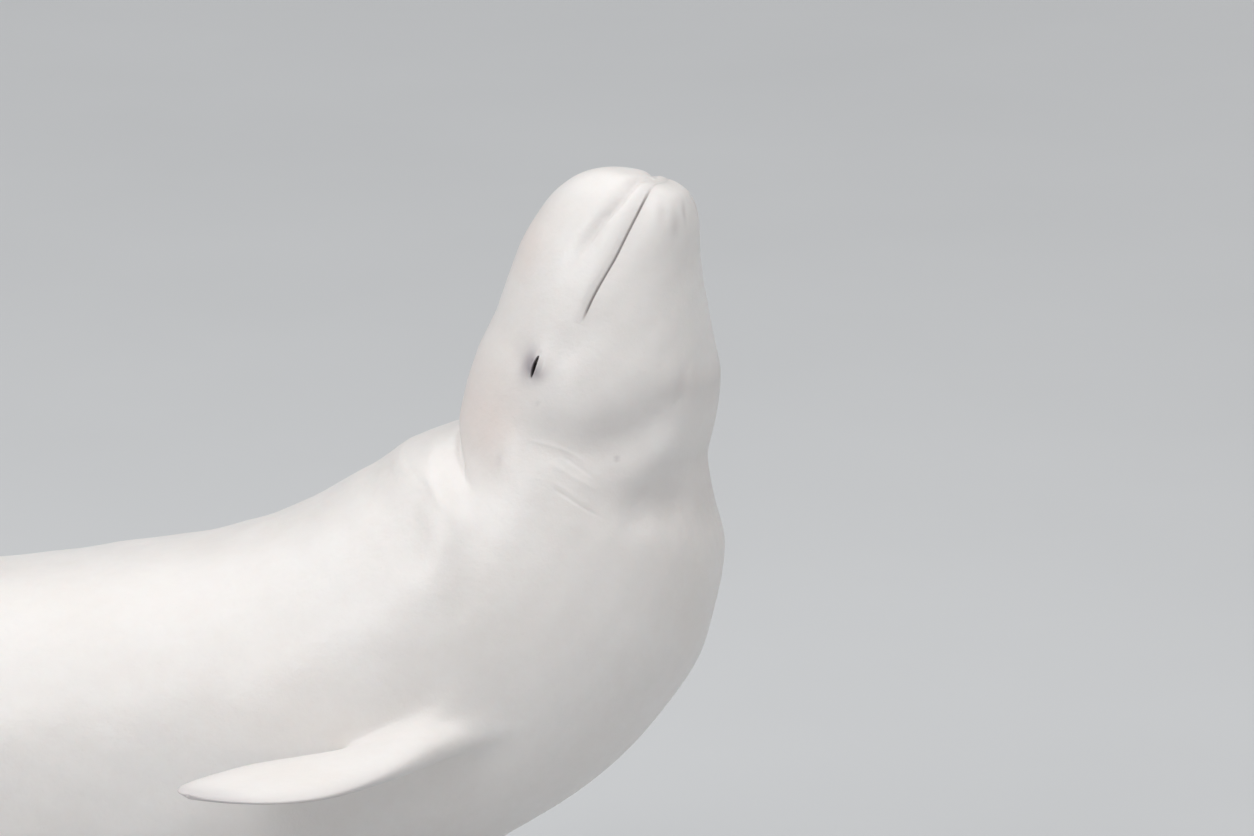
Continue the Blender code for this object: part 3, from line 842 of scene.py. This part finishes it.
def add_collars(ab, rows, border, meeting):
    """Add rings of map points from the border of each hole to the flipper's root."""
    start = ab[[rows[i, j] for i, j in border]]
    turn = np.stack([np.cos(meeting[:, 2]), np.sin(meeting[:, 2])], -1)
    goal = root_reach(meeting[:, 1])[:, None] * turn
    steps = np.linspace(0, 1, COLLAR_RINGS + 1)[1:, None, None]
    collar = start + (goal - start) * steps ** 0.9
    stacks = []
    for sign in (1, -1):
        edge = [rows[i, j if sign > 0 else 3 * SIDE - j] for i, j in border]
        numbers = len(ab) + np.arange(collar[..., 0].size).reshape(COLLAR_RINGS, -1)
        ab = np.concatenate([ab, (collar * (sign, 1)).reshape(-1, 2)])
        stacks.append(np.concatenate([np.array(edge)[None], numbers]))
    return ab, stacks


def blade_reaches(meeting):
    """Places along the blade of its rings, from the root to the tip."""
    out = np.sin(np.linspace(0, 1, BLADE_RINGS + 1)[1:] * pi / 2) ** 1.15
    return meeting[:, 0] + (1 - meeting[:, 0]) * out[:, None]


def flipper_colours(f, alpha):
    """Colour of the blade, greyer at its edges and tip."""
    edge = np.abs(np.cos(np.broadcast_to(alpha, f.shape))) ** 6 * smooth(0.05, 0.5, f)
    amount = 0.45 * edge + 0.6 * smooth(0.8, 1, f)
    return tint(np.tile(WHITE, (f.size, 1)), amount.reshape(-1), GREY)


def build_skin():
    """One closed skin over the body, the flukes and both flippers."""
    ab, faces, rows, sides = skin_grid()
    axes = flipper_axes()
    fine = flipper_meeting(np.arange(MEETING_POINTS) * 2 * pi / MEETING_POINTS, axes)
    block = flipper_block(fine)
    border = block_border(*block)
    alpha = border_alphas(border, fine)
    meeting = flipper_meeting(alpha, axes)
    ab, faces = refined_skin(ab, faces + open_sides(sides, *block))
    faces += rear_edge(rows[-1])
    ab, stacks = add_collars(ab, rows, border, meeting)
    points = straight_point(ab)
    colours = skin_colours(ab, points)
    points += straight_normal(ab) * relief(ab, points)[:, None]
    world = bend(points)
    f = blade_reaches(meeting)
    blade = flipper_point(f, np.broadcast_to(alpha, f.shape), axes)
    for sign, stack in zip((1, -1), stacks):
        numbers = len(world) + np.arange(f.size).reshape(f.shape)
        world = np.concatenate([world, (blade * (1, sign, 1)).reshape(-1, 3)])
        colours = np.concatenate([colours, flipper_colours(f, alpha)])
        rings = np.concatenate([stack, numbers])
        root = rings[:COLLAR_RINGS + ROOT_RINGS]
        world[root] = relax(world[root], COLLAR_RINGS, *ROUNDING)
        tip = rings[-1]
        faces += strips(rings) + zip_up(tip[:len(tip) // 2 + 1], tip[::-1])
    add_piece("beluga_skin", world, faces, skin_material(), FLESH, colours, sharp=None)


# --- materials ---
class Nodes:
    """Short way to add and link the shader nodes of a material or of the world."""

    def __init__(self, owner):
        owner.use_nodes = True
        self.owner = owner
        self.tree = owner.node_tree
        self.places = self.add("TexCoord").outputs

    def plug(self, node, values):
        """Give a node's inputs fixed values, or link them to other nodes' outputs."""
        for name, value in values.items():
            socket = node.inputs[name]
            if hasattr(value, "links"):
                self.tree.links.new(value, socket)
            else:
                socket.default_value = (*value, 1) if socket.type == "RGBA" else value

    def add(self, kind, values=None, **settings):
        """Add a node with these inputs and settings."""
        node = self.tree.nodes.new(f"ShaderNode{kind}")
        for name, value in settings.items():
            setattr(node, name, value)
        self.plug(node, values or {})
        return node

    def noise(self, scale, detail=3, roughness=0.5, stretch=None):
        """Noise over the object's own coordinates; scale is in cycles per metre."""
        place = self.places["Object"]
        if stretch:
            place = self.add("Mapping", {"Vector": place, "Scale": stretch}).outputs["Vector"]
        values = {"Vector": place, "Scale": scale, "Detail": detail, "Roughness": roughness}
        return self.add("TexNoise", values).outputs["Fac"]

    def spread(self, source, low=0, high=1, between=(0.3, 0.7)):
        """Carry a value that runs between two levels onto low to high."""
        values = {"Value": source, "From Min": between[0], "From Max": between[1],
                  "To Min": low, "To Max": high}
        return self.add("MapRange", values).outputs["Result"]

    def part(self, source, share):
        """Bring a value that runs from 0 to 1 down to a share of itself."""
        return self.spread(source, 0, share, (0, 1))

    def mix(self, amount, first, second, blend="MIX"):
        """Mix two colours, each a fixed colour or another node's output."""
        values = {0: amount, 6: first, 7: second}
        return self.add("Mix", values, data_type="RGBA", blend_type=blend).outputs[2]

    def veil(self, colour, pattern, share, by):
        """Multiply a colour by another where a pattern is high."""
        return self.mix(self.part(pattern, share), colour, by, "MULTIPLY")

    def vertex_tones(self):
        """Colours that the mesh carries at its vertices: markings, and painted shade on the skin.
        """
        return self.add("VertexColor", layer_name="vertex_tones").outputs["Color"]

    def bump(self, source, height, below=None):
        """Bump of a given height in metres, on top of another bump."""
        values = {"Height": source, "Strength": 1, "Distance": height}
        if below:
            values["Normal"] = below
        return self.add("Bump", values).outputs["Normal"]

    def shaded(self, values):
        """Give the material's shader these inputs, and return the material."""
        self.plug(self.tree.nodes["Principled BSDF"], values)
        return self.owner


def new_material(name):
    return Nodes(bpy.data.materials.new(name))


def skin_material():
    n = new_material("beluga_white_skin")
    clouds = n.spread(n.noise(5, 4, 0.55))
    mottle = n.spread(n.noise(38, 5, 0.6))
    flecks = n.spread(n.noise(260, 2, 0.5), between=(0.66, 0.76))
    colour = n.veil(n.vertex_tones(), clouds, 0.75, (0.965, 0.945, 0.925))
    colour = n.veil(colour, mottle, 0.45, (0.955, 0.945, 0.94))
    colour = n.veil(colour, flecks, 0.3, (0.9, 0.88, 0.86))
    fine = n.bump(n.noise(900, 3, 0.6), 0.0001)
    pores = n.bump(n.noise(230, 4, 0.6), 0.00026, fine)
    soft = n.bump(n.noise(46, 3, 0.5), 0.0011, pores)
    wetness = n.spread(n.noise(17, 5, 0.6), 0.34, 0.5)
    return n.shaded({"Base Color": colour, "Roughness": wetness, "Normal": soft,
                     "Subsurface Weight": 0.08, "Subsurface Scale": 0.012,
                     "Subsurface Radius": (1, 0.45, 0.3), "Coat Weight": 0.16,
                     "Coat Roughness": 0.22})


def eye_material():
    n = new_material("dark_wet_eye")
    fibres = n.spread(n.noise(900, 4, 0.6))
    return n.shaded({"Base Color": n.veil(n.vertex_tones(), fibres, 0.5, (0.55, 0.45, 0.4)),
                     "Roughness": n.spread(fibres, 0.24, 0.32, (0, 1)),
                     "Coat Weight": 0.04, "Coat Roughness": 0.06, "Specular IOR Level": 0.14})


def paint_material():
    n = new_material("satin_stand_paint")
    clouds = n.spread(n.noise(7, 4, 0.6))
    peel = n.noise(420, 2, 0.5)
    dust = n.spread(n.noise(60, 6, 0.7), between=(0.45, 0.75))
    colour = n.mix(clouds, (0.05, 0.054, 0.06), (0.066, 0.07, 0.076))
    colour = n.mix(n.part(dust, 0.25), colour, (0.115, 0.115, 0.115))
    return n.shaded({"Base Color": colour, "Roughness": n.spread(dust, 0.38, 0.52, (0, 1)),
                     "Normal": n.bump(peel, 0.00012), "Coat Weight": 0.1,
                     "Coat Roughness": 0.35})


def steel_material(name, stretch):
    n = new_material(name)
    lines = n.noise(60, 5, 0.7, stretch)
    patches = n.spread(n.noise(22, 3, 0.5))
    colour = n.mix(n.spread(lines), (0.46, 0.465, 0.47), (0.64, 0.645, 0.65))
    colour = n.mix(n.part(patches, 0.3), colour, (0.52, 0.52, 0.52))
    return n.shaded({"Base Color": colour, "Metallic": 1,
                     "Roughness": n.spread(lines, 0.26, 0.42), "Normal": n.bump(lines, 0.00006)})


def floor_material():
    n = new_material("pale_floor")
    clouds = n.spread(n.noise(0.8, 4, 0.5))
    colour = n.mix(clouds, (0.63, 0.64, 0.65), (0.65, 0.66, 0.67))
    return n.shaded({"Base Color": colour, "Roughness": 0.7})


# --- separate pieces ---
def new_object(name, data):
    obj = bpy.data.objects.new(name, data)
    bpy.context.scene.collection.objects.link(obj)
    return obj


def add_piece(name, points, faces, mat, replaced=(), colours=None, sharp=radians(32)):
    """Make an object of points and faces that rides with the body."""
    mesh = bpy.data.meshes.new(name)
    mesh.from_pydata(points.tolist(), [], faces)
    if colours is not None:
        layer = mesh.color_attributes.new("vertex_tones", "FLOAT_COLOR", "POINT")
        layer.data.foreach_set("color", np.column_stack([colours, np.ones(len(colours))]).ravel())
    bm = bmesh.new()
    bm.from_mesh(mesh)
    unused = [v for v in bm.verts if not v.link_faces]
    bmesh.ops.delete(bm, geom=unused, context="VERTS")
    bmesh.ops.recalc_face_normals(bm, faces=bm.faces)
    bm.to_mesh(mesh)
    bm.free()
    mesh.shade_smooth()
    if sharp:
        mesh.set_sharp_from_angle(angle=sharp)
    mesh.materials.append(mat)
    piece = new_object(name, mesh)
    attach(piece, "root")
    if replaced:
        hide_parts(*replaced)


def stacked(rings):
    """Points and faces of a closed form over a stack of closed rings."""
    rings = np.asarray(rings)
    count = rings.shape[1]
    numbers = np.arange(rings.shape[0] * count).reshape(-1, count)
    caps = [numbers[0][::-1].tolist(), numbers[-1].tolist()]
    return rings.reshape(-1, 3), strips(numbers) + caps


def circle(radius, height, count, centre):
    """Level ring of points; the radius may differ from point to point."""
    turn = np.arange(count) * 2 * pi / count
    x, y = centre[0] + radius * np.cos(turn), centre[1] + radius * np.sin(turn)
    return np.stack([x, y, np.full(count, height)], -1)


EYE_RINGS = 40
EYE_AROUND = 56
PUPIL_ANGLE, IRIS_ANGLE = 0.17, 0.5  # radians from the eye's axis
CORNEA_BULGE, CORNEA_WIDTH = 0.02, 0.45  # share of the radius, and radians
EYE_POLE = 0.012             # radius in radians of the flat cap at each pole
EYEBALL = np.array((0.034, 0.027, 0.025))
IRIS = np.array((0.022, 0.015, 0.012))
PUPIL = np.array((0.003, 0.003, 0.004))


def build_eye(side, sign, mat):
    """Eyeball with a dark iris and pupil that looks out of the slit."""
    low, high = (np.array(corner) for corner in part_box(f"eye_{side}"))
    centre, radius = (low + high) / 2, float((high - low).max()) / 2
    s, y, level = on_flank([EYE_AT])[0]
    axis = bend((s, sign * (y + 0.1), level)) - bend((s, sign * y, level))
    axis = axis / np.linalg.norm(axis)
    first = np.cross(axis, (0, 0, 1))
    first = first / np.linalg.norm(first)
    second = np.cross(axis, first)
    turn = (np.arange(EYE_AROUND) * 2 * pi / EYE_AROUND)[:, None]
    across = np.cos(turn) * first + np.sin(turn) * second
    polar = np.linspace(EYE_POLE, pi - EYE_POLE, EYE_RINGS)
    rings = []
    for angle in polar:
        r = radius * (1 + CORNEA_BULGE * bell(angle, CORNEA_WIDTH))
        rings.append(centre + r * (cos(angle) * axis + sin(angle) * across))
    points, faces = stacked(rings)
    away = np.repeat(polar, EYE_AROUND)[:, None]
    colours = EYEBALL
    for angle, edge, inner in ((IRIS_ANGLE, 0.04, IRIS), (PUPIL_ANGLE, 0.03, PUPIL)):
        inside = fall(angle - edge, angle + edge, away)
        colours = colours + inside * (inner - colours)
    add_piece(f"eyeball_{side}", points, faces, mat, (f"eye_{side}",), colours)


# --- the stand ---
BOARD_CORNER, BOARD_RIM = 0.06, 0.006  # radii of the board's corners and of its rim
BOARD_BEVEL = 0.0015         # of its lower edge
BAR_SIDES, FLANGE_SIDES, BOLT_SIDES = 72, 96, 48
STEEL_BEVEL = 0.001
FLANGE_RIM = 0.003           # radius of the flange's upper edge
HUB_FILLET = 0.007
# hub's profile: distance outside the bar, height above the flange
HUB = ((0.006, 0.012), (0.005, 0.0135), (0.0004, 0.014))
BOLT_CIRCLE = 0.055
BOLTS = 4
BOLT_HEAD = ((0.0068, 0), (0.0068, 0.006), (0.0064, 0.0068), (0.0058, 0.007))
RECESS = (0.0032, 0.0035)    # half width of the hexagon, level of its bottom


def rounded_rectangle(length, width, radius, inset, height, corner=14):
    """Ring of points of a rectangle with round corners, drawn in by inset."""
    points = []
    for k, (sx, sy) in enumerate(((1, 1), (-1, 1), (-1, -1), (1, -1))):
        for t in np.linspace(0, pi / 2, corner):
            turn = k * pi / 2 + t
            points.append((sx * (length / 2 - radius) + (radius - inset) * cos(turn),
                           sy * (width / 2 - radius) + (radius - inset) * sin(turn), height))
    return np.array(points)


def build_base(mat):
    """Painted board with round corners and a softened rim."""
    low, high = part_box("stand_base")
    size = high[0] - low[0], high[1] - low[1], BOARD_CORNER
    profile = [(BOARD_BEVEL, low[2]), (0, low[2] + BOARD_BEVEL)]
    for t in np.linspace(0, pi / 2, 7):
        profile.append((BOARD_RIM * (1 - cos(t)), high[2] - BOARD_RIM + BOARD_RIM * sin(t)))
    points, faces = stacked([rounded_rectangle(*size, *ring) for ring in profile])
    add_piece("stand_board", points, faces, mat, ("stand_base",))


def round_node(name):
    """Middle X, radius, bottom and top of a round upright CAD node."""
    low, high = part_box(name)
    return (low[0] + high[0]) / 2, (high[0] - low[0]) / 2, low[2], high[2]


def add_turned(name, node, mat, profile, count):
    """Steel piece in place of a round node: a bevelled foot, then radii and heights."""
    x, radius, bottom, _ = round_node(node)
    profile = [(radius - STEEL_BEVEL, bottom), (radius, bottom + STEEL_BEVEL), *profile]
    points, faces = stacked([circle(wide, z, count, (x, 0)) for wide, z in profile])
    add_piece(name, points, faces, mat, (node,))


def build_rod(place, mat):
    """Round bar that ends inside the skin of the belly."""
    node = f"stand_rod_{place}"
    _, radius, bottom, top = round_node(node)
    profile = [(radius, z) for z in np.linspace(bottom + 0.004, top, 12)]
    add_turned(f"stand_bar_{place}", node, mat, profile, BAR_SIDES)


def build_flange(place, mat):
    """Flange with a raised hub round the bar, and its bolts."""
    node = f"stand_flange_{place}"
    x, radius, _, top = round_node(node)
    bar = round_node(f"stand_rod_{place}")[1]
    turns = np.linspace(0, pi / 2, 6)
    rim, fillet, hub = FLANGE_RIM, HUB_FILLET, bar + HUB[0][0]
    profile = [(radius - rim * (1 - cos(t)), top - rim + rim * sin(t)) for t in turns]
    profile += [(hub + fillet * (1 - sin(t)), top + fillet * (1 - cos(t))) for t in turns]
    profile += [(bar + out, top + up) for out, up in HUB]
    add_turned(f"stand_foot_{place}", node, mat, profile, FLANGE_SIDES)
    build_bolts(place, mat, x, top)


def build_bolts(place, mat, x, bottom):
    """Bolts that hold a flange, as one piece."""
    all_points, all_faces = [], []
    for k in range(BOLTS):
        turn = pi / 4 + k * 2 * pi / BOLTS
        centre = x + BOLT_CIRCLE * cos(turn), BOLT_CIRCLE * sin(turn)
        points, faces = stacked(bolt_rings(centre, bottom))
        all_faces += [[i + k * len(points) for i in face] for face in faces]
        all_points.append(points)
    points = np.concatenate(all_points)
    add_piece(f"stand_bolts_{place}", points, all_faces, mat)


def bolt_rings(centre, bottom):
    """Round head of a socket screw with a hexagonal recess."""
    turn = np.arange(BOLT_SIDES) * 2 * pi / BOLT_SIDES
    hexagon = RECESS[0] / np.cos((turn % (pi / 3)) - pi / 6)
    profile = (*BOLT_HEAD, (hexagon, BOLT_HEAD[-1][1]), (hexagon, RECESS[1]))
    return [circle(radius, bottom + z, BOLT_SIDES, centre) for radius, z in profile]


# --- camera, lights and floor ---
VIEW_ELEVATION = radians(17)
VIEW_DISTANCE = 9
METRES_PER_PIXEL = 0.0017    # at the snout
SENSOR_WIDTH = 36            # millimetres
SNOUT_PIXEL = (657, 178)
FRAME = (1254, 836)

SKY_STRENGTH, SKY_ANGLE = 1.9, radians(110)
# soft lights: place, target, size, watts, colour
SOFTBOXES = {
    "overhead_softbox":
        ((-0.9, -0.3, 6), (-0.2, 0, 0.8), (6, 4.5), 44, (1, 0.995, 0.985)),
    "key_softbox": ((-3, -4.4, 5), (0.6, 0, 1.1), (3.2, 2.6), 105, (1, 0.99, 0.98)),
    "side_softbox": ((3, -1.2, 5.6), (0.9, 0, 1.3), (2.4, 2.4), 37, (0.975, 0.99, 1)),
}
# light of the room round the model, from the horizon up to the ceiling
HORIZON_COLOUR = (2.95, 3.05, 3.12)
CEILING_COLOUR = (0.78, 0.8, 0.83)
CEILING_LEVEL = 0.2          # sine of the elevation where the ceiling's colour starts
ROOM_STRENGTH = 0.15
FLOOR_HALF = 60


def build_camera():
    ahead = Vector((0, cos(VIEW_ELEVATION), -sin(VIEW_ELEVATION)))
    up = Vector((0, sin(VIEW_ELEVATION), cos(VIEW_ELEVATION)))
    right = Vector((1, 0, 0))
    across = (FRAME[0] / 2 - SNOUT_PIXEL[0]) * METRES_PER_PIXEL
    above = (SNOUT_PIXEL[1] - FRAME[1] / 2) * METRES_PER_PIXEL
    data = bpy.data.cameras.new("camera")
    data.sensor_width = SENSOR_WIDTH
    data.lens = SENSOR_WIDTH * VIEW_DISTANCE / (FRAME[0] * METRES_PER_PIXEL)
    data.clip_end = 200
    camera = new_object("camera", data)
    camera.location = Vector(SNOUT) + right * across + up * above - ahead * VIEW_DISTANCE
    camera.rotation_euler = (pi / 2 - VIEW_ELEVATION, 0, 0)
    bpy.context.scene.camera = camera


def build_lights():
    """A very wide, soft light straight down, and three softboxes."""
    sky = bpy.data.lights.new("sky_light", "SUN")
    sky.energy = SKY_STRENGTH
    sky.angle = SKY_ANGLE
    new_object("sky_light", sky)
    for name, (place, target, size, watts, colour) in SOFTBOXES.items():
        data = bpy.data.lights.new(name, "AREA")
        data.shape = "RECTANGLE"
        data.size, data.size_y = size
        data.energy = watts
        data.color = colour
        light = new_object(name, data)
        light.location = place
        aim = Vector(target) - Vector(place)
        light.rotation_euler = aim.to_track_quat("-Z", "Y").to_euler()


def build_room():
    """Pale room, bright at the horizon so that the floor seems to rise into it."""
    world = bpy.data.worlds.new("studio")
    n = Nodes(world)
    height = n.add("SeparateXYZ", {"Vector": n.places["Generated"]}).outputs["Z"]
    share = n.spread(height, between=(0, CEILING_LEVEL))
    colour = n.mix(share, HORIZON_COLOUR, CEILING_COLOUR)
    n.plug(n.tree.nodes["Background"], {"Color": colour, "Strength": ROOM_STRENGTH})
    bpy.context.scene.world = world
    bpy.context.scene.view_settings.view_transform = "Standard"


def build_floor():
    mesh = bpy.data.meshes.new("floor")
    half = FLOOR_HALF
    corners = [(-half, -half, 0), (half, -half, 0), (half, half, 0), (-half, half, 0)]
    mesh.from_pydata(corners, [], [(0, 1, 2, 3)])
    mesh.materials.append(floor_material())
    new_object("floor", mesh)


def build_stand():
    paint = paint_material()
    brushed = steel_material("brushed_bar", (0.3, 0.3, 14))
    turned = steel_material("turned_steel", (6, 6, 6))
    build_base(paint)
    for place in ("front", "rear"):
        build_rod(place, brushed)
        build_flange(place, turned)


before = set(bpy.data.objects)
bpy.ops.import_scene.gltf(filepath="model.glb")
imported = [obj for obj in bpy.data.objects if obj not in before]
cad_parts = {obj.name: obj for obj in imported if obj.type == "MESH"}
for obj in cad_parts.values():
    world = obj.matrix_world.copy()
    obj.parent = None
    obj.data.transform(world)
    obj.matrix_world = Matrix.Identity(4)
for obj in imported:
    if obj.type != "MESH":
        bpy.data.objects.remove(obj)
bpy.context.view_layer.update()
build_camera()
build_lights()
build_room()
build_floor()
build_skin()
wet_eye = eye_material()
build_eye("right", 1, wet_eye)
build_eye("left", -1, wet_eye)
build_stand()
